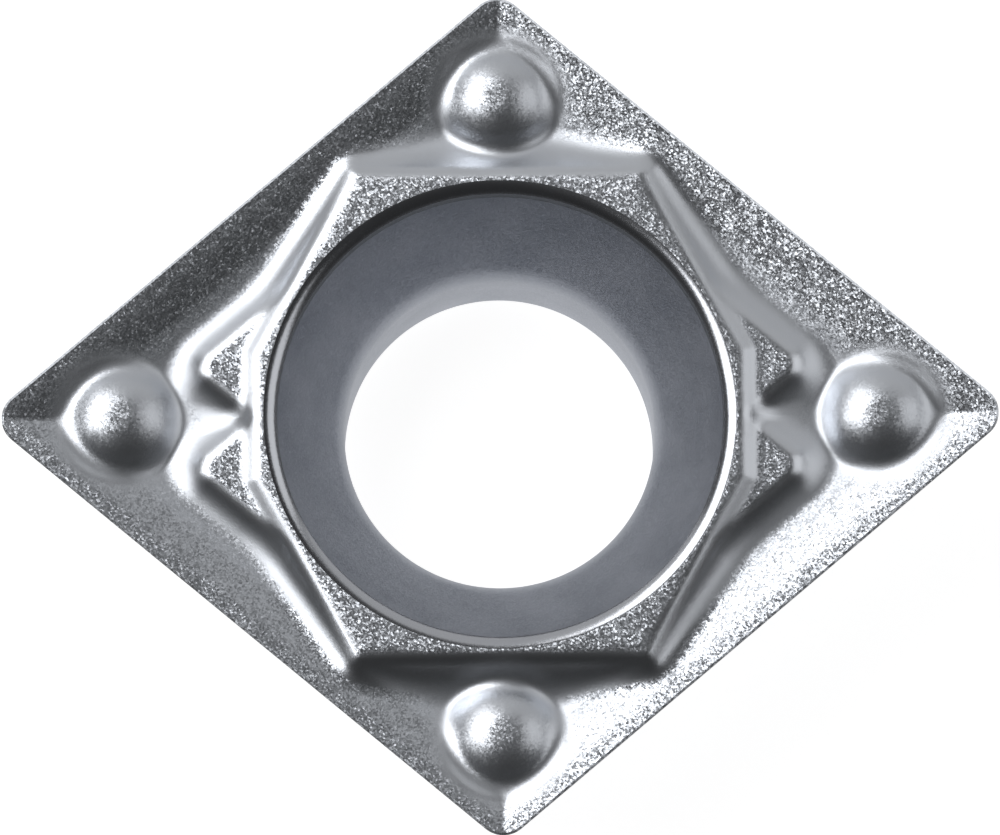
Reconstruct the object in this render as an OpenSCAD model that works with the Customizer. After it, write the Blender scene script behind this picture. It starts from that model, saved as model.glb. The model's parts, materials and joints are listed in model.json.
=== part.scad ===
// Turning insert for a screw-on tool holder: a rhombus with two 80 degree corners, leaning
// flanks, a pressed chip former on one face and a countersunk hole for the clamping screw.
// One sintered piece. Millimetres. The seating face lies on z = 0, the axis of the screw hole
// is the z axis, the sharp corners point along x and the blunt corners along y.

/* [Blank] */
// Diameter of the circle that touches the four cutting edges
inscribed_circle = 9.525; // [9.2:0.005:14]
// Height of the cutting edges above the seating face
thickness = 3.97; // [3.2:0.01:6.4]
// Angle between the cutting edges at a sharp corner
corner_angle = 80; // [76:1:86]
// Lean of the flanks below the cutting edges
clearance_angle = 7; // [3:0.5:11]
// Radius of the four noses in plan
nose_radius = 0.4; // [0.2:0.05:0.8]
// Width of the honed bevel on the cutting edges
hone_width = 0.04; // [0.02:0.01:0.1]

/* [Chip former] */
// Width of the land behind a cutting edge
land_width = 0.25; // [0.12:0.01:0.35]
// Fall of the land towards the middle
land_angle = 9; // [3:0.5:12]
// Fall of the rake face behind the land
rake_angle = 18; // [14:1:28]
// Depth of the floor below the cutting edges
floor_depth = 0.32; // [0.25:0.01:0.4]
// Steepness of the walls that stand on the floor
wall_angle = 45; // [38:1:60]
// Radius of the rounded brow at the top of a wall
brow_radius = 0.28; // [0.05:0.01:0.35]
// Radius of the hollow at the foot of a wall
foot_radius = 0.3; // [0.08:0.01:0.35]

/* [Collar] */
// Height of the flat top of the collar above the cutting edges
collar_rise = 0.1; // [0.04:0.01:0.25]
// Flat strip left between the countersink and the sides of the collar
collar_strip = 0.12; // [0.03:0.01:0.3]
// Direction that a slanted side faces, from the long diagonal
collar_side_angle = 29; // [24:1:38]
// Radius of the corners of the collar in plan
collar_corner = 0.08; // [0.04:0.01:0.2]

/* [Pads] */
// Depth of the flat tops of the pads below the cutting edges
pad_depth = 0.05; // [0:0.01:0.18]
// Distance from a cutting edge to the outer side of its pads
pad_inset = 1.38; // [1.2:0.01:1.5]
// Distance from a cutting edge to the notch side of the pads across the notch
notch_inset = 2.5; // [2.4:0.01:2.6]
// Radius of the tip of a pad in plan
pad_tip_radius = 0.24; // [0.08:0.01:0.3]

/* [Domes] */
// Distance from a sharp corner of the rhombus to the centre of its dome
sharp_dome_inset = 1.93; // [1.8:0.01:2.1]
// Distance from a blunt corner of the rhombus to the centre of its dome
blunt_dome_inset = 1.58; // [1.45:0.01:1.7]
// Diameter of a dome at its foot
dome_diameter = 1.68; // [1.2:0.01:1.7]
// Height of a dome above the floor
dome_height = 0.42; // [0.2:0.01:0.42]
// Radius of the hollow round the foot of a dome
dome_foot_radius = 0.12; // [0.05:0.01:0.2]

/* [Screw hole] */
// Diameter of the straight bore
bore_diameter = 4.5; // [4:0.01:4.8]
// Diameter of the countersink where it opens on the collar
mouth_diameter = 6.82; // [6.5:0.01:7]
// Full angle of the seat for the screw head
seat_angle = 66; // [56:1:80]
// Radius that blends the seat into the bore
throat_radius = 1; // [0.3:0.05:1.3]
// Width of the polished lip that rounds the mouth
lip_width = 0.185; // [0.1:0.005:0.3]
// Fall of the polished lip from the top of the collar
lip_height = 0.09; // [0.06:0.01:0.15]
// Width of the steep step between the lip and the seat
step_width = 0.015; // [0.01:0.005:0.1]
// Height of the steep step between the lip and the seat
step_height = 0.24; // [0.1:0.01:0.4]
// Bevel of the bore on the seating face
bore_bevel = 0.25; // [0.1:0.01:0.4]

/* [Hidden] */
$fn = 96;

half_angle = corner_angle / 2;
edge_distance = inscribed_circle / 2;
collar_radius = mouth_diameter / 2 + collar_strip;
collar_top = thickness + collar_rise;
floor_level = thickness - floor_depth;
land_drop = land_width * tan(land_angle);
rake_run = (floor_depth - land_drop) / tan(rake_angle);
floor_inset = land_width + rake_run;
// A wall meets the floor at this small angle, and its solid goes on this far below it
foot_angle = 9;
root_depth = 0.2;
// Cuts and blanks reach this far past the faces that they cross
over = 0.5;
// Turn of the rounding that makes the lip
lip_turn = 40;
// Smallest corner radius that an outline keeps where it shrinks
least_radius = 0.01;
nose_steps = 10;
corner_steps = 5;
brow_steps = 4;
foot_steps = 5;

// Corners of the rhombus whose sides lie a given distance inside the cutting edges
function rhombus(inset) =
    let (r = edge_distance - inset)
    [[r / sin(half_angle), 0], [0, r / cos(half_angle)], [-r / sin(half_angle), 0], [0, -r / cos(half_angle)]];

function unit(v) = v / norm(v);

function heading(a, b) = atan2(b[1] - a[1], b[0] - a[0]);

// Outline of a convex polygon with rounded corners, grown outwards by a given distance.
// The centre of each corner stays where the ungrown radius puts it, unless the outline shrinks
// by more than that radius.
function rounded(points, radius, grow, steps) =
    let (n = len(points))
    [for (i = [0:n - 1])
        let (
            before = points[(i + n - 1) % n],
            corner = points[i],
            after = points[(i + 1) % n],
            start = heading(before, corner) - 90,
            turn = (heading(corner, after) - heading(before, corner) + 720) % 360,
            inward = unit(unit(before - corner) + unit(after - corner)),
            core = max(radius, least_radius - grow),
            centre = corner + inward * core / cos(turn / 2)
        )
        for (k = [0:steps])
            centre + (core + grow) * [cos(start + turn * k / steps), sin(start + turn * k / steps)]];

// Points along an arc from one point to another that turns left by a given angle
function arc(from, to, turn, steps) =
    let (
        start = heading(from, to) - turn / 2,
        radius = norm(to - from) / (2 * sin(turn / 2))
    )
    [for (k = [0:steps])
        let (a = start + turn * k / steps)
        from + radius * [sin(a) - sin(start), cos(start) - cos(a)]];

// Steps outwards and downwards along a wall of a given height: a rounded brow that starts inside
// the outline, a straight slope through the outline's edge, then a hollow foot
function wall(height) =
    let (
        brow_bend = 1 - cos(wall_angle),
        brow = min(brow_radius, 0.45 * height / brow_bend),
        foot_bend = cos(foot_angle) - cos(wall_angle),
        foot = min(foot_radius, 0.45 * height / foot_bend),
        start = [-brow * tan(wall_angle / 2), 0],
        crest = start + brow * [sin(wall_angle), -brow_bend],
        straight = height - brow * brow_bend - foot * foot_bend,
        knee = crest + straight * [1 / tan(wall_angle), -1],
        toe = knee + foot * [sin(wall_angle) - sin(foot_angle), -foot_bend]
    )
    concat(
        arc(start, crest, -wall_angle, brow_steps),
        arc(knee, toe, wall_angle - foot_angle, foot_steps),
        [toe - [0, root_depth]]
    );

// Solid through a stack of outlines that have the same number of points, lowest first
module loft(outlines, levels) {
    n = len(outlines[0]);
    top = len(levels) - 1;
    points = [for (i = [0:top]) for (p = outlines[i]) [p[0], p[1], levels[i]]];
    sides = [for (i = [0:top - 1]) for (k = [0:n - 1])
        [i * n + k, (i + 1) * n + k, (i + 1) * n + (k + 1) % n, i * n + (k + 1) % n]];
    polyhedron(points, concat([[for (k = [0:n - 1]) k]], sides, [[for (k = [n - 1:-1:0]) top * n + k]]));
}

// Flat-topped form with sloping walls that stands on the floor of the chip former
module mesa(points, radius, top) {
    steps = wall(top - floor_level);
    last = len(steps) - 1;
    loft(
        [for (i = [last:-1:0]) rounded(points, radius, steps[i][0], corner_steps)],
        [for (i = [last:-1:0]) top + steps[i][1]]
    );
}

// Leaning flanks, round noses and the honed bevel
module blank() {
    hone_top = thickness + over;
    bevel = over + hone_width;
    color([0.62, 0.63, 0.66])
        loft(
            [for (inset = [thickness * tan(clearance_angle), hone_width * tan(clearance_angle), bevel])
                rounded(rhombus(inset), nose_radius, 0, nose_steps)],
            [0, thickness - hone_width, hone_top]
        );
}

// Hollow between the cutting edges: a land, a rake face and a flat floor
module hollow() {
    rise = over * tan(land_angle);
    loft(
        [for (inset = [floor_inset, land_width, -over, -over]) rhombus(inset)],
        [floor_level, thickness - land_drop, thickness + rise, collar_top + 2 * over]
    );
}

// Eight-sided collar round the screw hole
module collar() {
    faces = [for (turned = [0, 180]) for (a = [-collar_side_angle, 0, collar_side_angle, 90]) a + turned];
    corners = [for (i = [0:7])
        let (a = faces[i], b = faces[(i + 1) % 8] + (i == 7 ? 360 : 0))
        collar_radius / cos((b - a) / 2) * [cos((a + b) / 2), sin((a + b) / 2)]];
    color([0.6, 0.61, 0.64])
        mesa(corners, collar_corner, collar_top);
}

// One pad: its outer side follows the near cutting edge, its notch side the far one
module pad() {
    near = edge_distance - pad_inset;
    far = edge_distance - notch_inset;
    tip = [(near + far) / (2 * sin(half_angle)), (near - far) / (2 * cos(half_angle))];
    slant = [cos(collar_side_angle), sin(collar_side_angle)];
    outer_run = (tip * slant - collar_radius) / cos(half_angle + collar_side_angle);
    notch_run = (tip[0] - collar_radius) / cos(half_angle);
    outer_end = tip + outer_run * [-cos(half_angle), sin(half_angle)];
    notch_end = tip + notch_run * [-cos(half_angle), -sin(half_angle)];
    color([0.58, 0.59, 0.62])
        mesa([notch_end, tip, outer_end], pad_tip_radius, thickness - pad_depth);
}

// Four pads, a pair at each sharp corner
module pads() {
    for (x = [0, 1])
        for (y = [0, 1])
            mirror([x, 0, 0])
                mirror([0, y, 0])
                    pad();
}

// Round dome with a hollow foot
module dome() {
    r = dome_diameter / 2;
    edge_slope = 2 * atan(dome_height / r);
    bend = dome_foot_radius * (cos(foot_angle) - cos(edge_slope));
    reach = dome_foot_radius * (sin(edge_slope) - sin(foot_angle));
    crown = arc([r, bend], [0, dome_height + bend], edge_slope, 8);
    foot = arc([r + reach, 0], [r, bend], foot_angle - edge_slope, foot_steps);
    color([0.64, 0.65, 0.68])
        translate([0, 0, floor_level])
            rotate_extrude()
                polygon(concat([[0, -root_depth], [r + reach, -root_depth]], foot, crown));
}

// Four domes, one at each corner
module domes() {
    x = edge_distance / sin(half_angle) - sharp_dome_inset;
    y = edge_distance / cos(half_angle) - blunt_dome_inset;
    for (side = [-1, 1]) {
        translate([side * x, 0, 0])
            dome();
        translate([0, side * y, 0])
            dome();
    }
}

// Screw hole from the seating face up: bevel, bore, throat, seat, steep step and polished lip
module screw_hole() {
    bore = bore_diameter / 2;
    mouth = mouth_diameter / 2;
    lean = seat_angle / 2;
    lip_edge = [mouth - lip_width, collar_top - lip_height];
    lip_foot = lip_edge - [step_width, step_height];
    throat_level = lip_foot[1] - (lip_foot[0] - bore) / tan(lean);
    tangent = throat_radius * tan(lean / 2);
    seat_end = [bore + tangent * sin(lean), throat_level + tangent * cos(lean)];
    throat = arc([bore, throat_level - tangent], seat_end, -lean, 6);
    lip = arc(lip_edge, [mouth, collar_top], -lip_turn, 6);
    color([0.42, 0.43, 0.47])
        rotate_extrude()
            polygon(concat(
                [[0, -over], [bore + bore_bevel + over, -over], [bore, bore_bevel]],
                throat, [lip_foot], lip,
                [[mouth + over, collar_top + over], [0, collar_top + over]]
            ));
}

module insert() {
    difference() {
        union() {
            difference() {
                blank();
                hollow();
            }
            collar();
            pads();
            domes();
        }
        screw_hole();
    }
}

insert();
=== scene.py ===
# %% [markdown]
# # A cermet turning insert
# The insert is one pressed and sintered piece, 14 mm long. It is a rhombus with leaning flanks,
# and its upper face is a landscape of lands, rake faces, a collar, pads and domes round a
# countersunk hole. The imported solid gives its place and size. This script gives it a finer skin
# with soft fillets, a sintered surface, a camera at the photograph's angle and studio light.

import json
import math

import bpy
import numpy as np
from mathutils import Matrix, Vector


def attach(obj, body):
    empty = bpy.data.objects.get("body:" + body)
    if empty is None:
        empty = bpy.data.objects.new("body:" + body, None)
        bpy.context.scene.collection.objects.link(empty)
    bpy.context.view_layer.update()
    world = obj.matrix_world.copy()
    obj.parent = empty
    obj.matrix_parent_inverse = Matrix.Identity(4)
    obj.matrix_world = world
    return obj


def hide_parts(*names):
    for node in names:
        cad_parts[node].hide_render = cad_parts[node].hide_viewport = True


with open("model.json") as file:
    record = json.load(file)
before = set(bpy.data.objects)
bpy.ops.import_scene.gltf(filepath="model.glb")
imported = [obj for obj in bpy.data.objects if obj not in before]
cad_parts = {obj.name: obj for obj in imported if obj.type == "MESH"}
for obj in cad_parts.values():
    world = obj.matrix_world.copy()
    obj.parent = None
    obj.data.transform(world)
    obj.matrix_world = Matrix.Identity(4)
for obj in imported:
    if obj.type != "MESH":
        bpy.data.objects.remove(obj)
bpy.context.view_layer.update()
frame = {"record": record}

# %% [markdown]
# All sizes are in millimetres here and become metres when the mesh is written. The blank comes
# from a circle that touches its four edges; every form on it is placed from those edges, from
# the corners of the rhombus or from the hole, as on a tool drawing. The bore's radius is read
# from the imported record, because a screw has to fit it.

# %% Sizes of the blank, in millimetres
MM = 0.001
INSCRIBED = 9.525
THICKNESS = 3.97
HALF_CORNER = math.radians(40)
NOSE = 0.4
CLEARANCE = math.radians(7)
HONE = 0.04

EDGE = THICKNESS
EDGE_DISTANCE = INSCRIBED / 2
SHARP = EDGE_DISTANCE / math.sin(HALF_CORNER)
BLUNT = EDGE_DISTANCE / math.cos(HALF_CORNER)
print("cutting edges at", EDGE, "mm, corners at", round(SHARP, 3), "and", round(BLUNT, 3), "mm")

# %% Sizes of the chip former, in millimetres
LAND_WIDTH = 0.25
LAND_SLOPE = math.tan(math.radians(9))
RAKE_SLOPE = math.tan(math.radians(18))
FLOOR_DEPTH = 0.32
WALL_SLOPE = math.tan(math.radians(45))

COLLAR_RISE = 0.1
COLLAR_STRIP = 0.12
COLLAR_SIDE = math.radians(29)
COLLAR_CORNER = 0.08

PAD_DEPTH = 0.03
PAD_INSET = 1.38
NOTCH_INSET = 2.5
PAD_TIP = 0.24
PAD_ROOT = 0.25
RAMP_SLOPE = math.tan(math.radians(28))
RAMP_DEPTH = 0.03
RAMP_HALF = 0.3

SHARP_DOME_INSET = 1.93
BLUNT_DOME_INSET = 1.58
DOME_RADIUS = 0.84
DOME_HEIGHT = 0.46
print("floor", FLOOR_DEPTH, "mm below the cutting edges, collar", COLLAR_RISE, "mm above them")

# %% Sizes of the screw hole, in millimetres
MOUTH = 3.41
SEAT_LEAN = math.radians(33)
THROAT_RADIUS = 1.0
LIP_WIDTH = 0.185
LIP_HEIGHT = 0.09
LIP_TURN = math.radians(40)
STEP_WIDTH = 0.015
STEP_HEIGHT = 0.24
BORE_BEVEL = 0.25

hole = next(m for m in frame["record"]["mounts"] if m["kind"] == "bore")
BORE = hole["dims"]["r_mm"]
TOP = EDGE + COLLAR_RISE
COLLAR_RADIUS = MOUTH + COLLAR_STRIP
print("bore radius", BORE, "mm, mouth radius", MOUTH, "mm, top of the collar at", TOP, "mm")

# %% [markdown]
# The upper face is a height above each point of the plan. Real forms meet in small fillets, so
# two heights are joined by a smooth maximum, and a rounded brow is a smooth minimum. Both are a
# plain maximum or minimum away from the place where the two heights come close. Booleans with
# bevels could make the same forms, but their fillets fail where three forms run together.

# %% Smooth joins


def smooth_max(a, b, width):
    """The larger of a and b, plus a parabola where they differ by less than width."""
    return np.maximum(a, b) + np.maximum(width - np.abs(a - b), 0) ** 2 / (4 * width)


def smooth_min(a, b, width):
    """The smaller of a and b, with the corner between them cut by a parabola."""
    return -smooth_max(-a, -b, width)


def smooth_step(x, start, end):
    """0 before start, 1 after end, and 3 t^2 - 2 t^3 between them."""
    t = np.clip((x - start) / (end - start), 0, 1)
    return t * t * (3 - 2 * t)


print("a join of 0 and 0 with width 0.2 stands", smooth_max(0.0, 0.0, 0.2), "above them")

# %% [markdown]
# Walls and lands follow an outline at a fixed distance, so one function measures how far a point
# lies outside a convex polygon with rounded corners. It serves the cutting edges, the collar and
# the pads alike. Offset curves would give only the lines themselves, and nothing between them.

# %% Distance from an outline


def turned(angle):
    """Unit vectors at the given angles."""
    return np.stack([np.cos(angle), np.sin(angle)], axis=-1)


def outside(points, corners, radius):
    """Distance of points from a convex outline with rounded corners, negative inside it.

    The outline shrunk by its corner radius is a plain polygon; the distance from that polygon's
    sides, less the radius, is the distance from the rounded outline.
    """
    after = np.roll(corners, -1, axis=0)
    along = (after - corners) / np.linalg.norm(after - corners, axis=1)[:, None]
    normal = np.stack([along[:, 1], -along[:, 0]], axis=1)
    reach = np.sum(normal * corners, axis=1) - radius
    before = np.roll(reach, 1)
    normal_before = np.roll(normal, 1, axis=0)
    cross = normal_before[:, 0] * normal[:, 1] - normal_before[:, 1] * normal[:, 0]
    core = np.stack([
        (before * normal[:, 1] - reach * normal_before[:, 1]) / cross,
        (reach * normal_before[:, 0] - before * normal[:, 0]) / cross,
    ], axis=1)
    far = np.full(points.shape[:-1], np.inf)
    inside = np.full(points.shape[:-1], -np.inf)
    for start, end, n, c in zip(core, np.roll(core, -1, axis=0), normal, reach):
        side = end - start
        t = np.clip((points - start) @ side / (side @ side), 0, 1)
        far = np.minimum(far, np.linalg.norm(points - start - t[..., None] * side, axis=-1))
        inside = np.maximum(inside, points @ n - c)
    return np.where(inside < 0, inside, far) - radius


EDGE_TURNS = np.array([1, -1, -1, 1]) * (math.pi / 2 - HALF_CORNER)
EDGE_NORMALS = turned(EDGE_TURNS + np.array([0, math.pi, 0, math.pi]))
print("cutting edges face", np.round(EDGE_NORMALS, 3).tolist())

# %% [markdown]
# Each of the four corners carries a dome on its diagonal. It lifts the chip off the floor and
# curls it. A dome is a cap of a sphere, slightly blunted on top, and its rim runs out in a wide
# fillet. A separate sphere would meet the floor in a hard line.

# %% The domes
DOME_CROWN = 0.012
DOME_BASE = 0.27
DOME_FOOT = 0.22
DOMES = np.array([
    (SHARP - SHARP_DOME_INSET, 0),
    (-SHARP + SHARP_DOME_INSET, 0),
    (0, BLUNT - BLUNT_DOME_INSET),
    (0, -BLUNT + BLUNT_DOME_INSET),
])


def near_dome(points):
    """Distance in plan from the centre of the nearest dome."""
    return np.min([np.linalg.norm(points - centre, axis=-1) for centre in DOMES], axis=0)


def dome(points, centre):
    """Height that a dome adds to the floor at DOME_BASE below the cutting edges.

    A cap of the sphere through the dome's top and foot circle, cut at the base, blunted on top
    by a smooth minimum, and joined to zero by a smooth maximum along its rim's slope.
    """
    radius = (DOME_RADIUS ** 2 + DOME_HEIGHT ** 2) / (2 * DOME_HEIGHT)
    height = DOME_HEIGHT - FLOOR_DEPTH + DOME_BASE
    rim_radius = math.sqrt(radius ** 2 - (radius - height) ** 2)
    rho = np.linalg.norm(points - centre, axis=-1)
    cap = np.sqrt(radius ** 2 - np.minimum(rho, rim_radius) ** 2) - radius + height
    cap = smooth_min(cap, height - DOME_CROWN + 0 * rho, DOME_CROWN)
    slope = rim_radius / (radius - height)
    return smooth_max(cap - slope * np.maximum(rho - rim_radius, 0), 0 * rho, DOME_FOOT)


print("domes at", np.round(DOMES, 3).tolist())

# %% [markdown]
# Behind each cutting edge the face falls inwards: a narrow land that keeps the edge strong, a
# steeper rake face that the chip slides down, then the floor. The four falls meet in creases on
# the diagonals. The groove is therefore the highest of the four, cut off at the floor.

# %% The groove
CREASE = 0.012
BED_CREASE = 0.2
CREASE_FADE = (0.3, 1.1)
DOME_BED = (0.6, 0.93)
FLOOR_BLEND = 0.07


def groove(points):
    """The highest of four falls, one from each edge: land, rake face and floor.

    Two falls meet in a crease on the line to each corner. It softens towards the dome there,
    and evens out to one level in a round bed under the dome.
    """
    from_dome = near_dome(points)
    crease = CREASE + BED_CREASE * (1 - smooth_step(from_dome, *CREASE_FADE))
    height = None
    for normal in EDGE_NORMALS:
        inset = EDGE_DISTANCE - points @ normal
        land = -LAND_SLOPE * inset
        rake = -LAND_SLOPE * LAND_WIDTH - RAKE_SLOPE * (inset - LAND_WIDTH)
        fall = smooth_min(land, rake, CREASE)
        height = fall if height is None else smooth_max(height, fall, crease)
    height = smooth_max(height, -FLOOR_DEPTH + 0 * height, FLOOR_BLEND)
    bed = 1 - smooth_step(from_dome, *DOME_BED)
    return height * (1 - bed) - DOME_BASE * bed


print("groove in front of a dome", round(float(groove(DOMES[:1] + [[0.9, 0]])[0]), 3), "mm")

# %% [markdown]
# A collar with eight sides stands round the hole. At each sharp corner a pair of pads leans
# against it, with a notch between them. Their outlines are convex polygons with rounded corners.
# Each form is flat inside its outline and falls with the distance outside it, so its wall keeps
# one slope all the way round. A short ramp fills the inner end of each notch.

# %% Outlines of the collar and the pads


def collar_corners():
    """Corners of the eight sides that all touch one circle."""
    a = COLLAR_SIDE
    faces = np.array([-a, 0, a, math.pi / 2, math.pi - a, math.pi, math.pi + a, 1.5 * math.pi])
    after = np.append(faces[1:], faces[0] + 2 * math.pi)
    return COLLAR_RADIUS / np.cos((after - faces) / 2)[:, None] * turned((after + faces) / 2)


def pad_corners(x_side, y_side):
    """Triangle with one side along the near cutting edge and one along the far edge's direction.

    Both sides run on under the collar by PAD_ROOT, so the third side is never seen.
    """
    near, far = EDGE_DISTANCE - PAD_INSET, EDGE_DISTANCE - NOTCH_INSET
    tip = np.array([
        (near + far) / (2 * math.sin(HALF_CORNER)),
        (near - far) / (2 * math.cos(HALF_CORNER)),
    ])
    slant = turned(COLLAR_SIDE)
    outer = (tip @ slant - COLLAR_RADIUS + PAD_ROOT) / math.cos(HALF_CORNER + COLLAR_SIDE)
    notch = (tip[0] - COLLAR_RADIUS + PAD_ROOT) / math.cos(HALF_CORNER)
    back = np.array([-math.cos(HALF_CORNER), math.sin(HALF_CORNER)])
    triangle = np.array([tip + notch * back * [1, -1], tip, tip + outer * back])
    triangle = triangle * [x_side, y_side]
    return triangle if x_side * y_side > 0 else triangle[::-1]


COLLAR = collar_corners()
PADS = [pad_corners(x, y) for x in (1, -1) for y in (1, -1)]
print("collar", len(COLLAR), "sides, pads", len(PADS))

# %% Heights of the collar and the pads
BROW = 0.12
PAD_FOOT = 0.13
NOTCH_FOOT = 0.1


def mesa(distance, top):
    """Flat at top inside its outline, falling at the wall's slope outside it."""
    return smooth_min(top + 0 * distance, top - WALL_SLOPE * distance, BROW)


def notch_ramp(points):
    """Filling at the inner end of each notch: it falls from the collar and to both sides."""
    along = np.abs(points[..., 0])
    across = np.abs(points[..., 1])
    ramp = -RAMP_DEPTH - RAMP_SLOPE * np.maximum(along - COLLAR_RADIUS, 0)
    return ramp - WALL_SLOPE * np.maximum(across - RAMP_HALF, 0)


def island(points):
    """The highest of the collar, the four pads and the ramps in the notches, with fillets."""
    collar = mesa(outside(points, COLLAR, COLLAR_CORNER), COLLAR_RISE)
    pads = np.max([mesa(outside(points, corners, PAD_TIP), -PAD_DEPTH) for corners in PADS], axis=0)
    return smooth_max(collar, smooth_max(pads, notch_ramp(points), NOTCH_FOOT), PAD_FOOT)


print("collar stands", round(float(island(np.array([[COLLAR_RADIUS - 0.2, 0]]))[0]), 3), "mm high")

# %% [markdown]
# The whole face is the higher of two surfaces: the groove with its domes, and the island of
# collar and pads. The wide fillet between them is the hollow foot of the walls, which guides
# the chip upwards. In the pressed piece it is what shows as bright and dark bands.

# %% The whole face
FOOT = 0.36


def face_height(points):
    """Height above the cutting edges: groove plus domes, joined to the island by a fillet."""
    open_face = groove(points) + sum(dome(points, centre) for centre in DOMES)
    return smooth_max(open_face, island(points), FOOT)


print("dome tops", np.round(face_height(DOMES), 3).tolist(), "mm above the cutting edges")

# %% [markdown]
# The skin is one grid. Its columns go round the insert and its rows run from the hole over the
# face, down the flank, under the seat and back into the hole, so it closes on itself and has no
# poles. Rows follow the brows and feet of the forms, and columns crowd in the noses, so sharp
# lines of the pressed face fall on grid lines.

# %% Columns round the outline
NOSE_STEPS = 36
SIDE_STEPS = 160


def rhombus(inset):
    """Corners of the rhombus whose sides lie that far inside the cutting edges."""
    k = 1 - inset / EDGE_DISTANCE
    return np.array([[SHARP, 0], [0, BLUNT], [-SHARP, 0], [0, -BLUNT]]) * k


def ring(inset, radius=NOSE):
    """Rounded rhombus: an arc at each corner, then the straight side to the next one."""
    corners = rhombus(inset)
    turns = [2 * (math.pi / 2 - HALF_CORNER), 2 * HALF_CORNER] * 2
    share = np.linspace(0, 1, SIDE_STEPS, endpoint=False)[:, None]
    points = []
    for i, turn in enumerate(turns):
        middle = i * math.pi / 2
        centre = corners[i] - radius / math.cos(turn / 2) * turned(middle)
        sweep = np.linspace(-turn / 2, turn / 2, NOSE_STEPS, endpoint=False)
        points.append(centre + radius * turned(middle + sweep))
        after_turn = turns[(i + 1) % 4]
        after_middle = (i + 1) * math.pi / 2
        start = centre + radius * turned(middle + turn / 2)
        end = corners[(i + 1) % 4] - radius / math.cos(after_turn / 2) * turned(after_middle)
        end = end + radius * turned(after_middle - after_turn / 2)
        points.append(start + (end - start) * share)
    return np.concatenate(points)


rim = ring(0)
rim_reach = np.linalg.norm(rim, axis=1)
rays = rim / rim_reach[:, None]
print("columns", len(rim))

# %% [markdown]
# A row of the grid runs along each line where the face turns: the brow and the foot of the walls,
# the inner side of the land and the honed edge. Each ray from the axis is searched for its last
# crossing of such a line, and the rows between two lines crowd a little at both ends. A plain
# grid would cut across the lines and leave them ragged.

# %% Where a ray crosses a line of the face
RAY_STEPS = 1200
FOOT_ROWS_COLLAR = 0.5
FOOT_ROWS_PADS = 0.34
FOOT_ROWS_GAP = 0.03


def last_reach(level):
    """For each ray from the axis, the farthest point at which level(points) is still negative."""
    steps = np.linspace(MOUTH, SHARP, RAY_STEPS)
    values = level(rays[:, None, :] * steps[None, :, None])
    last = values.shape[1] - 1 - np.argmax(values[:, ::-1] < 0, axis=1)
    last = np.minimum(last, len(steps) - 2)
    rows = np.arange(len(rays))
    a, b = values[rows, last], values[rows, last + 1]
    return steps[last] + (steps[1] - steps[0]) * np.clip(a / (a - b), 0, 1)


def island_outline(grow_collar, grow_pads):
    """Distance outside the collar and the pads, each grown by its own amount."""
    def level(points):
        """The smallest of the distances, each less its growth."""
        distance = outside(points, COLLAR, COLLAR_CORNER) - grow_collar
        for corners in PADS:
            distance = np.minimum(distance, outside(points, corners, PAD_TIP) - grow_pads)
        return distance
    return level


def inset_reach(inset):
    """Where each ray meets the rounded rhombus at that inset, kept round at the noses."""
    radius = NOSE - min(inset, NOSE / 2)
    return last_reach(lambda points: outside(points, rhombus(inset), radius))


pad_wall = (COLLAR_RISE + PAD_DEPTH) / WALL_SLOPE
mouth_reach = MOUTH + 0 * rim_reach
brow_reach = last_reach(lambda points: outside(points, COLLAR, COLLAR_CORNER))
shelf_reach = last_reach(island_outline(pad_wall, 0))
land_reach = inset_reach(LAND_WIDTH)
hone_reach = inset_reach(HONE)
foot_reach = last_reach(island_outline(FOOT_ROWS_COLLAR, FOOT_ROWS_PADS))
foot_reach = np.minimum(foot_reach, land_reach - FOOT_ROWS_GAP)
print("the walls' feet lie", round(float(foot_reach.min()), 2), "mm or more from the axis")

# %% Rows over the face


def eased(count, ease):
    """Steps from 0 to 1 without the last one, crowded at both ends by the given share."""
    t = np.arange(count) / count
    return (1 - ease) * t + ease * (0.5 - 0.5 * np.cos(math.pi * t))


# Each band: where it starts, where it ends, its rows, and how much they crowd at its ends.
bands = [
    (mouth_reach, brow_reach, 5, 0.6),
    (brow_reach, shelf_reach, 22, 0.5),
    (shelf_reach, foot_reach, 13, 0.4),
    (foot_reach, land_reach, 50, 0.2),
    (land_reach, hone_reach, 6, 0.3),
    (hone_reach, rim_reach, 1, 0),
]
reaches = np.concatenate([
    start[None] + (end - start)[None] * eased(count, ease)[:, None]
    for start, end, count, ease in bands
])
face_points = reaches[..., None] * rays[None]
face_z = EDGE + face_height(face_points)
print("face rows", len(reaches), "highest point", round(float(face_z.max()), 3), "mm")

# %% [markdown]
# The hole is a profile carried round the axis: a bevel, the straight bore, a rounded throat, the
# tapered seat for the screw's head, a steep step and the rounded lip at the mouth. Below the
# cutting edges the flanks lean inwards to the seating face, so the edge can cut freely. None of
# it needs a second mesh, because each is only some more rows of the same grid.

# %% Rows in the hole
THROAT_ROWS = 8
SEAT_ROWS = 4
LIP_ROWS = 11


def arc(start, end, turn, count):
    """Points of an arc that turns by a given angle between two points, ends included."""
    start, end = np.array(start), np.array(end)
    chord = end - start
    heading = math.atan2(chord[1], chord[0]) - turn / 2
    radius = np.linalg.norm(chord) / (2 * math.sin(turn / 2))
    a = heading + turn * np.linspace(0, 1, count)
    offset = np.stack([np.sin(a) - math.sin(heading), math.cos(heading) - np.cos(a)], axis=1)
    return start + radius * offset


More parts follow.
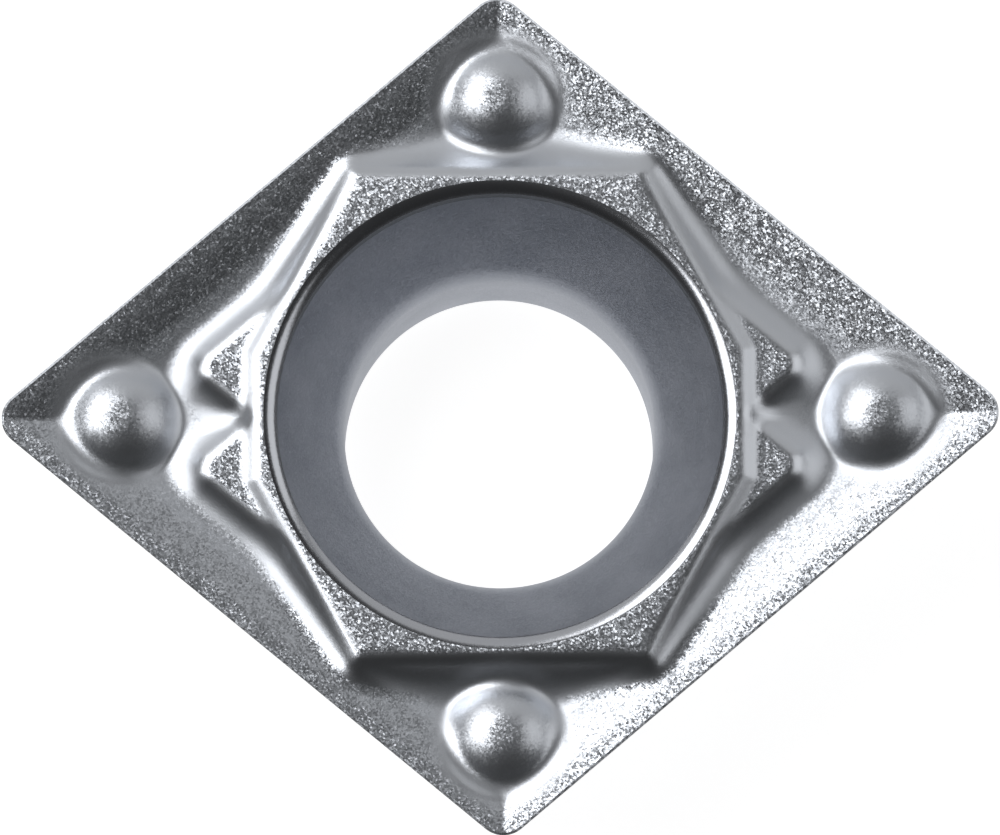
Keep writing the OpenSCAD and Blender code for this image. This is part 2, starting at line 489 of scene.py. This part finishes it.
lip_start = (MOUTH - LIP_WIDTH, TOP - LIP_HEIGHT)
lip_foot = (lip_start[0] - STEP_WIDTH, lip_start[1] - STEP_HEIGHT)
throat = lip_foot[1] - (lip_foot[0] - BORE) / math.tan(SEAT_LEAN)
tangent = THROAT_RADIUS * math.tan(SEAT_LEAN / 2)
seat_end = (BORE + tangent * math.sin(SEAT_LEAN), throat + tangent * math.cos(SEAT_LEAN))
bevel_rows = np.array([[BORE + BORE_BEVEL, 0], [BORE, BORE_BEVEL]])
throat_rows = arc((BORE, throat - tangent), seat_end, -SEAT_LEAN, THROAT_ROWS)
seat_rows = np.linspace(seat_end, lip_foot, SEAT_ROWS)[1:-1]
lip_rows = arc(lip_start, (MOUTH, TOP), -LIP_TURN, LIP_ROWS)[:-1]
hole_rows = np.concatenate([bevel_rows, throat_rows, seat_rows, [lip_foot], lip_rows])
hole_points = hole_rows[:, 0, None, None] * rays[None]
hole_z = np.repeat(hole_rows[:, 1, None], len(rim), axis=1)
print("hole rows", len(hole_rows), "seat starts at", round(float(seat_end[1]), 3), "mm")

# %% Rows on the flank and the seating face
UNDER_SHARES = (0.4, 0.8)

flank_insets = np.array([HONE, EDGE]) * math.tan(CLEARANCE)
flank_points = np.stack([ring(inset) for inset in flank_insets])
flank_z = np.repeat([[EDGE - HONE], [0.0]], len(rim), axis=1)
under = np.array(UNDER_SHARES)[:, None, None]
under_points = flank_points[-1] * (1 - under) + hole_points[0] * under
under_z = np.zeros((len(UNDER_SHARES), len(rim)))
print("flanks lean in by", round(float(flank_insets[-1]), 3), "mm at the seating face")

# %% [markdown]
# All rows now become one mesh. Each point is joined to the next row and the next column, and the
# last of both to the first, so no seam is left open. The order of the corners makes every face
# point outwards.

# %% The mesh


def closed_grid(points, z):
    """Vertices and quads of a grid that closes on itself both ways, faces pointing outwards."""
    rows, columns = z.shape
    verts = np.concatenate([points, z[..., None]], axis=-1).reshape(-1, 3)
    index = np.arange(rows * columns).reshape(rows, columns)
    down = np.roll(index, -1, axis=0)
    quads = np.stack([index, down, np.roll(down, -1, axis=1), np.roll(index, -1, axis=1)], axis=-1)
    return verts, quads.reshape(-1, 4)


grid_points = np.concatenate([hole_points, face_points, flank_points, under_points])
grid_z = np.concatenate([hole_z, face_z, flank_z, under_z])
verts, quads = closed_grid(grid_points, grid_z)
mesh = bpy.data.meshes.new("insert_skin")
mesh.from_pydata(verts * MM, [], quads)
mesh.validate()
skin = bpy.data.objects.new("insert_skin", mesh)
bpy.context.scene.collection.objects.link(skin)
print("quads", len(quads))

# %% [markdown]
# The mesh carries two masks, one value per vertex. `grain` says where the pressed surface kept
# its coarse sintered skin: most on flat tops and lands, less on rake faces and dome crowns,
# little on the floor and the flanks. The steep walls and the hollows at their feet came off a
# smoother part of the die and have none. `satin` says where the surface is duller: on the floor,
# in the hollows, on the domes and on the tops. Masks on the mesh follow the forms exactly, which
# a pattern in space couldn't do. A FADE is where a mask starts and ends to change, in millimetres.

# %% Edges and flat tops
COLLAR_TOP_FADE = (-0.1, -0.05)
PAD_TOP_FADE = (-0.09, -0.04)


def edge_inset(points):
    """Distance in plan from the nearest cutting edge."""
    return np.min([EDGE_DISTANCE - points @ n for n in EDGE_NORMALS], axis=0)


def collar_top(points):
    """1 on the flat top of the collar, 0 from just inside its outline."""
    return 1 - smooth_step(outside(points, COLLAR, COLLAR_CORNER), *COLLAR_TOP_FADE)


def pad_tops(points):
    """1 on the flat tops of the pads, 0 from just inside their outlines."""
    distance = np.min([outside(points, corners, PAD_TIP) for corners in PADS], axis=0)
    return 1 - smooth_step(distance, *PAD_TOP_FADE)


on_top = np.maximum(collar_top(face_points), pad_tops(face_points))
print("flat tops take", round(float(on_top.mean()), 3), "of the face's points")

# %% The grain mask
LAND_GRAIN = 0.9
RAKE_GRAIN = 0.7
FLOOR_GRAIN = 0.3
DOME_GRAIN = 0.25
CROWN_GRAIN = 0.4
FLANK_GRAIN = 0.25

LAND_FADE = (LAND_WIDTH - 0.03, LAND_WIDTH + 0.08)
RAKE_FADE = (0.78, 1.0)
GROOVE_FADE = (0.1, 0.15)
DOME_CLEAR = (0.85, 1.15)
DOME_FADE = (0.6, 0.85)
CROWN_FADE = (0.16, 0.36)
PAD_LEVEL_FADE = (0.01, 0.03)


def grain_mask(points):
    """The largest of four masks: open face, collar top, pad tops and domes.

    The open face is where the groove stands clear of the island and of the domes. Its value
    falls from the land's to the rake face's, and fades to the floor's away from the edge.
    """
    inset = edge_inset(points)
    from_dome = near_dome(points)
    open_face = smooth_step(groove(points) - island(points), *GROOVE_FADE)
    open_face = open_face * smooth_step(from_dome, *DOME_CLEAR)
    amount = RAKE_GRAIN + (LAND_GRAIN - RAKE_GRAIN) * (1 - smooth_step(inset, *LAND_FADE))
    near_edge = 1 - smooth_step(inset, *RAKE_FADE)
    mask = open_face * (FLOOR_GRAIN + (amount - FLOOR_GRAIN) * near_edge)
    mask = np.maximum(mask, collar_top(points))
    level = 1 - smooth_step(np.abs(face_height(points) + PAD_DEPTH), *PAD_LEVEL_FADE)
    mask = np.maximum(mask, pad_tops(points) * level)
    domes = DOME_GRAIN * (1 - smooth_step(from_dome, *DOME_FADE))
    crowns = CROWN_GRAIN * (1 - smooth_step(from_dome, *CROWN_FADE))
    return np.maximum(mask, domes + crowns)


first_face = len(hole_rows)
last_face = first_face + len(reaches)
grain = np.zeros(grid_z.shape)
grain[first_face:last_face] = grain_mask(face_points)
grain[last_face:] = FLANK_GRAIN
attribute = mesh.attributes.new("grain", "FLOAT", "POINT")
attribute.data.foreach_set("value", grain.ravel())
print("grain mask mean", round(float(grain.mean()), 3))

# %% The satin mask
HOLLOW_FADE = (-0.25, -0.05)
FLOOR_FADE = (0.56, 0.78)
DOME_SATIN = 0.6
DOME_SATIN_FADE = (1.0, 1.2)
TOP_SATIN = 0.5
SATIN_BY_GRAIN = 0.3


def satin_mask(points):
    """The largest of three masks: floor and hollows, domes, and the flat tops."""
    floor_part = smooth_step(groove(points) - face_height(points), *HOLLOW_FADE)
    floor_part = floor_part * smooth_step(edge_inset(points), *FLOOR_FADE)
    dome_part = DOME_SATIN * (1 - smooth_step(near_dome(points), *DOME_SATIN_FADE))
    top_part = TOP_SATIN * np.maximum(collar_top(points), pad_tops(points))
    return np.maximum(np.maximum(floor_part, dome_part), top_part)


face_grain = grain[first_face:last_face]
satin = np.zeros(grid_z.shape)
satin[first_face:last_face] = np.maximum(satin_mask(face_points), SATIN_BY_GRAIN * face_grain)
attribute = mesh.attributes.new("satin", "FLOAT", "POINT")
attribute.data.foreach_set("value", satin.ravel())
print("satin mask mean", round(float(satin.mean()), 3))

# %% [markdown]
# The finish changes along whole rows: the bore with the seat, the step, which carries painted
# shade, the lip, and the pressed skin for all the rest. So a number per row is enough, and no
# face is picked by hand. Faces get smooth shading, and an edge that turns by more than 20
# degrees stays sharp.

# %% Which rows take which finish
SHARP_FROM = math.radians(20)

first_lip = first_face - len(lip_rows)
row_zone = np.zeros(len(grid_z), dtype=int)
row_zone[:first_lip] = 1
row_zone[first_lip:first_face] = 2
# Row 3 is the step under the lip. It takes painted shade: a near-black colour in place of the shade
# that falls there.
row_zone[first_lip - 1] = 3
mesh.polygons.foreach_set("material_index", np.repeat(row_zone, len(rim)))
mesh.polygons.foreach_set("use_smooth", np.ones(len(quads), dtype=bool))
mesh.set_sharp_from_angle(angle=SHARP_FROM)
print("rows per finish", np.bincount(row_zone).tolist())

# %% [markdown]
# Sintered cermet is a hard grey metal-bonded ceramic. Close up, its pressed skin is a field of
# tiny facets that flash light and dark. A bump follows the slope of a height, and a flat cell has
# none, so the group below tilts the surface's normal itself: coarse noise, small flat cells and
# fine noise each lean it a little, and a metallic shader turns the lean into flashes. The group
# also puts out a slow cloud for finishes without masks. All finishes share it, each with its own
# values.

# %% Helpers for node trees


def socket(group, name, kind, value, output=False):
    """Add a named input or output to a node group."""
    made = group.interface.new_socket(
        name=name, in_out="OUTPUT" if output else "INPUT", socket_type=kind
    )
    if value is not None:
        made.default_value = value
    return made


def add(tree, kind, place=(0, 0), **settings):
    """Add a node at a place in the tree and set its own settings."""
    node = tree.nodes.new(kind)
    node.location = place
    for name, value in settings.items():
        setattr(node, name, value)
    return node


print("two helpers for node trees")

# %% One layer of the sintered surface
GRAIN_DETAIL = 2.0

# Each layer: its input, its pattern, how much finer than the grain, and if the mask rules it.
LAYERS = (
    ("Coarse", "ShaderNodeTexNoise", 1.0, True),
    ("Facets", "ShaderNodeTexVoronoi", 1.4, True),
    ("Fine", "ShaderNodeTexNoise", 2.0, False),
)


def tilt_layer(group, into, layer, height):
    """Centred colours of a pattern times the layer's amount, and times the mask if it has one."""
    name, kind, finer, masked = layer
    links = group.links
    scale = add(group, "ShaderNodeMath", (-900, height), operation="MULTIPLY")
    scale.inputs[1].default_value = finer
    links.new(into.outputs["Grain per metre"], scale.inputs[0])
    pattern = add(group, kind, (-700, height))
    if kind == "ShaderNodeTexNoise":
        pattern.inputs["Detail"].default_value = GRAIN_DETAIL
    links.new(into.outputs["Vector"], pattern.inputs["Vector"])
    links.new(scale.outputs[0], pattern.inputs["Scale"])
    centred = add(group, "ShaderNodeVectorMath", (-450, height), operation="SUBTRACT")
    centred.inputs[1].default_value = (0.5, 0.5, 0.5)
    links.new(pattern.outputs["Color"], centred.inputs[0])
    amount = into.outputs[name]
    if masked:
        product = add(group, "ShaderNodeMath", (-450, height - 150), operation="MULTIPLY")
        links.new(amount, product.inputs[0])
        links.new(into.outputs["Mask"], product.inputs[1])
        amount = product.outputs[0]
    lean = add(group, "ShaderNodeVectorMath", (-200, height), operation="SCALE")
    links.new(centred.outputs[0], lean.inputs[0])
    links.new(amount, lean.inputs["Scale"])
    return lean.outputs[0]


print("layers", [layer[0] for layer in LAYERS])

# %% Shader group for the sintered surface
GRAIN_PER_METRE = 28000.0
CLOUD_SHARE = 0.04
CLOUD_DETAIL = 3.0


def sintered_group():
    """The surface's normal plus three leans, made a unit vector again, and a slow cloud."""
    group = bpy.data.node_groups.new("sintered_surface", "ShaderNodeTree")
    socket(group, "Vector", "NodeSocketVector", None)
    socket(group, "Mask", "NodeSocketFloat", 1.0)
    socket(group, "Grain per metre", "NodeSocketFloat", GRAIN_PER_METRE)
    socket(group, "Coarse", "NodeSocketFloat", 1.0)
    socket(group, "Facets", "NodeSocketFloat", 0.5)
    socket(group, "Fine", "NodeSocketFloat", 0.15)
    socket(group, "Normal", "NodeSocketVector", None, output=True)
    socket(group, "Cloud", "NodeSocketFloat", None, output=True)
    into = add(group, "NodeGroupInput", (-1100, 0))
    out = add(group, "NodeGroupOutput", (900, 0))
    links = group.links
    surface = add(group, "ShaderNodeNewGeometry", (100, -300))
    tilt = surface.outputs["Normal"]
    for row, layer in enumerate(LAYERS):
        height = 400 - 350 * row
        lean = tilt_layer(group, into, layer, height)
        total = add(group, "ShaderNodeVectorMath", (100, height), operation="ADD")
        links.new(tilt, total.inputs[0])
        links.new(lean, total.inputs[1])
        tilt = total.outputs[0]
    unit = add(group, "ShaderNodeVectorMath", (500, 0), operation="NORMALIZE")
    links.new(tilt, unit.inputs[0])
    links.new(unit.outputs[0], out.inputs["Normal"])
    cloud_scale = add(group, "ShaderNodeMath", (-900, -650), operation="MULTIPLY")
    cloud_scale.inputs[1].default_value = CLOUD_SHARE
    links.new(into.outputs["Grain per metre"], cloud_scale.inputs[0])
    cloud = add(group, "ShaderNodeTexNoise", (-700, -650))
    cloud.inputs["Detail"].default_value = CLOUD_DETAIL
    links.new(into.outputs["Vector"], cloud.inputs["Vector"])
    links.new(cloud_scale.outputs[0], cloud.inputs["Scale"])
    links.new(cloud.outputs["Fac"], out.inputs["Cloud"])
    return group


SINTERED = sintered_group()
print("group", SINTERED.name, "with", len(SINTERED.nodes), "nodes")

# %% [markdown]
# The pressed face and the flanks are pale metal with the coarse grain. The bore and the seat are
# matte and darker, and the lip round the mouth is glossy. The narrow step under the lip lies in
# shade and shows nearly black. That shade is painted, as a near-black colour of its own. One
# function makes all four, and each keeps its own colours, roughness and leans.

# %% How a finish is made


def finish(name, smooth, grainy, gloss, satin, tilts, masks=None):
    """Principled metal whose colour and roughness run between two values along its masks.

    The masks are the mesh's own, or the group's cloud where none is named.
    """
    material = bpy.data.materials.new(name)
    material.use_nodes = True
    tree = material.node_tree
    shader = tree.nodes["Principled BSDF"]
    shader.inputs["Metallic"].default_value = 1.0
    place = add(tree, "ShaderNodeTexCoord", (-1100, 0))
    surface = add(tree, "ShaderNodeGroup", (-700, 0), node_tree=SINTERED)
    for layer, value in zip(LAYERS, tilts):
        surface.inputs[layer[0]].default_value = value
    tree.links.new(place.outputs["Object"], surface.inputs["Vector"])
    colour = add(tree, "ShaderNodeMix", (-400, 200), data_type="RGBA")
    colour.inputs["A"].default_value = (*smooth, 1)
    colour.inputs["B"].default_value = (*grainy, 1)
    roughness = add(tree, "ShaderNodeMapRange", (-400, -100))
    roughness.inputs["To Min"].default_value = gloss
    roughness.inputs["To Max"].default_value = satin
    by_grain = by_satin = surface.outputs["Cloud"]
    if masks:
        grain_value = add(tree, "ShaderNodeAttribute", (-1100, -250), attribute_name=masks[0])
        satin_value = add(tree, "ShaderNodeAttribute", (-1100, -450), attribute_name=masks[1])
        by_grain = grain_value.outputs["Fac"]
        by_satin = satin_value.outputs["Fac"]
        tree.links.new(by_grain, surface.inputs["Mask"])
    tree.links.new(by_grain, colour.inputs["Factor"])
    tree.links.new(by_satin, roughness.inputs["Value"])
    tree.links.new(colour.outputs["Result"], shader.inputs["Base Color"])
    tree.links.new(roughness.outputs["Result"], shader.inputs["Roughness"])
    tree.links.new(surface.outputs["Normal"], shader.inputs["Normal"])
    return material


print("every finish reads the group", SINTERED.name)

# %% Four finishes
pressed = finish(
    "pressed_cermet", smooth=(0.78, 0.81, 0.86), grainy=(0.69, 0.72, 0.77),
    gloss=0.29, satin=0.43, tilts=(0.3, 0.33, 0.15), masks=("grain", "satin"),
)
matte = finish(
    "matte_screw_seat", smooth=(0.26, 0.28, 0.32), grainy=(0.52, 0.54, 0.59),
    gloss=0.46, satin=0.6, tilts=(0.1, 0.1, 0.2),
)
polished = finish(
    "polished_lip", smooth=(0.6, 0.62, 0.67), grainy=(0.7, 0.72, 0.76),
    gloss=0.2, satin=0.24, tilts=(0.05, 0.0, 0.06),
)
# Painted shade for the step under the lip: near-black colours that stand in for the shade in that
# recess.
step_shade_paint = finish(
    "shaded_step", smooth=(0.05, 0.06, 0.07), grainy=(0.12, 0.13, 0.15),
    gloss=0.4, satin=0.5, tilts=(0.1, 0.1, 0.2),
)
for material in (pressed, matte, polished, step_shade_paint):
    mesh.materials.append(material)
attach(skin, "root")
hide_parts("insert")
print("finishes", [m.name for m in mesh.materials])

# %% [markdown]
# The camera looks down on the insert, leaning 8.5 degrees towards the lower edge of the picture.
# The lens is long, as in close-up work, so the flanks stay hidden behind the cutting edges. Its
# focal length follows from the distance and from how many pixels one millimetre takes up.

# %% The camera
PICTURE_WIDTH = 1000
SENSOR = 36.0
CAMERA_TILT = math.radians(8.5)
CAMERA_TURN = math.radians(2.551)
CAMERA_ROLL = math.radians(-2.122)
CAMERA_DISTANCE = 225.52
PIXELS_PER_MM = 69.466
AIM = (-0.0037, -0.0366)
NEAR_CLIP = 0.005
FAR_CLIP = 5.0


def look_down():
    """Axes of the camera: turned about z, leaned back by the tilt, then rolled."""
    s, c = math.sin(CAMERA_TURN), math.cos(CAMERA_TURN)
    st, ct = math.sin(CAMERA_TILT), math.cos(CAMERA_TILT)
    side = Vector((c, -s, 0))
    up = Vector((s * ct, c * ct, st))
    back = Vector((-s * st, -c * st, ct))
    right = side * math.cos(CAMERA_ROLL) - up * math.sin(CAMERA_ROLL)
    top = side * math.sin(CAMERA_ROLL) + up * math.cos(CAMERA_ROLL)
    centre = Vector((0, 0, EDGE))
    eye = centre + back * CAMERA_DISTANCE
    aim = centre + right * AIM[0] + top * AIM[1]
    back = (eye - aim).normalized()
    right = top.cross(back).normalized()
    top = back.cross(right)
    matrix = Matrix((right, top, back)).transposed().to_4x4()
    matrix.translation = eye * MM
    return matrix


camera_data = bpy.data.cameras.new("camera")
camera_data.sensor_width = SENSOR
camera_data.lens = PIXELS_PER_MM * CAMERA_DISTANCE * SENSOR / PICTURE_WIDTH
camera_data.clip_start = NEAR_CLIP
camera_data.clip_end = FAR_CLIP
camera = bpy.data.objects.new("camera", camera_data)
camera.matrix_world = look_down()
bpy.context.scene.collection.objects.link(camera)
bpy.context.scene.camera = camera
print("lens", round(camera_data.lens, 1), "mm")

# %% [markdown]
# Bright metal shows its surroundings, so the light is what surrounds it: a large soft box on the
# upper left, a dimmer one on the right, darkness over the lens and in front, and a pale table.
# Sizes and places are in metres. Each lamp is given by its brightness as seen, because that is
# what the metal mirrors, and its power follows from its area.

# %% Two soft boxes


def softbox(name, azimuth, elevation, distance, width, height, radiance):
    """Area lamp of a given brightness that faces the insert from a compass direction."""
    data = bpy.data.lights.new(name, "AREA")
    data.shape = "RECTANGLE"
    data.size = width
    data.size_y = height
    data.energy = radiance * math.pi * width * height
    lamp = bpy.data.objects.new(name, data)
    a, e = math.radians(azimuth), math.radians(elevation)
    away = Vector((math.cos(a) * math.cos(e), math.sin(a) * math.cos(e), math.sin(e)))
    lamp.location = away * distance
    lamp.rotation_euler = away.to_track_quat("Z", "Y").to_euler()
    bpy.context.scene.collection.objects.link(lamp)
    return lamp


LAMP_DISTANCE = 0.2
left = softbox(
    "left_softbox", azimuth=154, elevation=52, distance=LAMP_DISTANCE,
    width=0.2, height=0.135, radiance=2.7,
)
right = softbox(
    "right_softbox", azimuth=10, elevation=36, distance=LAMP_DISTANCE,
    width=0.16, height=0.14, radiance=0.75,
)
print("lamps", [(lamp.name, round(lamp.data.energy, 4)) for lamp in (left, right)])

# %% [markdown]
# The insert lies on a plain white table. The table glows for the camera, for the metal and for
# what is seen through glass, so the background is white without more light on the insert. Its
# paper takes the lamps' light too and keeps a soft shadow. The table is one-sided, so the
# seating face can be looked at from below, and it lies a hair under the insert.

# %% The table
FLOOR_RADIUS = 0.07
FLOOR_SIDES = 96
FLOOR_GAP = 0.00001

angle = np.linspace(0, 2 * math.pi, FLOOR_SIDES + 1)[:-1]
table_rim = np.column_stack([FLOOR_RADIUS * turned(angle), np.full(FLOOR_SIDES, -FLOOR_GAP)])
floor_mesh = bpy.data.meshes.new("floor")
floor_mesh.from_pydata(table_rim, [], [list(range(FLOOR_SIDES))])
floor = bpy.data.objects.new("floor", floor_mesh)
bpy.context.scene.collection.objects.link(floor)
print("table", 2 * FLOOR_RADIUS, "m across")

# %% The table's paper
PAPER_TONE = 0.35
TABLE_GLOW = 0.93

paper = bpy.data.materials.new("white_table")
paper.use_nodes = True
tree = paper.node_tree
links = tree.links
tree.nodes.remove(tree.nodes["Principled BSDF"])
rays_seen = add(tree, "ShaderNodeLightPath", (-600, 200))
seen = add(tree, "ShaderNodeMath", (-400, 200), operation="ADD", use_clamp=True)
seen_too = add(tree, "ShaderNodeMath", (-200, 200), operation="ADD", use_clamp=True)
links.new(rays_seen.outputs["Is Camera Ray"], seen.inputs[0])
links.new(rays_seen.outputs["Is Glossy Ray"], seen.inputs[1])
links.new(seen.outputs[0], seen_too.inputs[0])
links.new(rays_seen.outputs["Is Transmission Ray"], seen_too.inputs[1])
diffuse = add(tree, "ShaderNodeBsdfDiffuse", (-200, 0))
diffuse.inputs["Color"].default_value = (PAPER_TONE, PAPER_TONE, PAPER_TONE, 1)
glow = add(tree, "ShaderNodeEmission", (-200, -150))
glow.inputs["Color"].default_value = (1, 1, 1, 1)
glow.inputs["Strength"].default_value = TABLE_GLOW
both = add(tree, "ShaderNodeAddShader", (0, -50))
links.new(diffuse.outputs[0], both.inputs[0])
links.new(glow.outputs[0], both.inputs[1])
mixed = add(tree, "ShaderNodeMixShader", (200, 100))
links.new(seen_too.outputs[0], mixed.inputs["Fac"])
links.new(diffuse.outputs[0], mixed.inputs[1])
links.new(both.outputs[0], mixed.inputs[2])
below = add(tree, "ShaderNodeNewGeometry", (200, 350))
clear = add(tree, "ShaderNodeBsdfTransparent", (200, -150))
one_sided = add(tree, "ShaderNodeMixShader", (450, 100))
links.new(below.outputs["Backfacing"], one_sided.inputs["Fac"])
links.new(mixed.outputs[0], one_sided.inputs[1])
links.new(clear.outputs[0], one_sided.inputs[2])
links.new(one_sided.outputs[0], tree.nodes["Material Output"].inputs["Surface"])
floor_mesh.materials.append(paper)
print("paper tone", PAPER_TONE, "glow", TABLE_GLOW)

# %% [markdown]
# The room is a world that is nearly black overhead and in front, and pale beyond the upper edge
# of the picture. The lower left rake face mirrors the place where the two meet, so its tone lies
# between them. A faint glow near the horizon keeps steep walls from turning black. A gradient is
# enough for this: a backdrop would be one more object to light.

# %% The room
DARK = 0.025
PALE = 0.42
PALE_FROM = 0.52
PALE_TO = 0.62
HORIZON_GLOW = 0.06
GLOW_FROM = 0.35
GLOW_TO = 0.05

world = bpy.data.worlds.new("studio")
bpy.context.scene.world = world
world.use_nodes = True
tree = world.node_tree
sky = add(tree, "ShaderNodeTexCoord", (-800, 0))
parts = add(tree, "ShaderNodeSeparateXYZ", (-600, 0))
tree.links.new(sky.outputs["Generated"], parts.inputs["Vector"])


def world_step(axis, place, from_min, from_max, to_min, to_max):
    """Strength that runs smoothly between two values along one axis of the view direction."""
    node = add(tree, "ShaderNodeMapRange", place, interpolation_type="SMOOTHSTEP")
    node.inputs["From Min"].default_value = from_min
    node.inputs["From Max"].default_value = from_max
    node.inputs["To Min"].default_value = to_min
    node.inputs["To Max"].default_value = to_max
    tree.links.new(parts.outputs[axis], node.inputs["Value"])
    return node.outputs["Result"]


total = add(tree, "ShaderNodeMath", (-200, -100), operation="ADD")
back_light = world_step("Y", (-400, 0), PALE_FROM, PALE_TO, DARK, PALE)
low_light = world_step("Z", (-400, -300), GLOW_FROM, GLOW_TO, 0.0, HORIZON_GLOW)
tree.links.new(back_light, total.inputs[0])
tree.links.new(low_light, total.inputs[1])
background = tree.nodes["Background"]
background.inputs["Color"].default_value = (1, 1, 1, 1)
tree.links.new(total.outputs[0], background.inputs["Strength"])
bpy.context.scene.view_settings.view_transform = "Standard"
print("room from", DARK, "to", PALE)
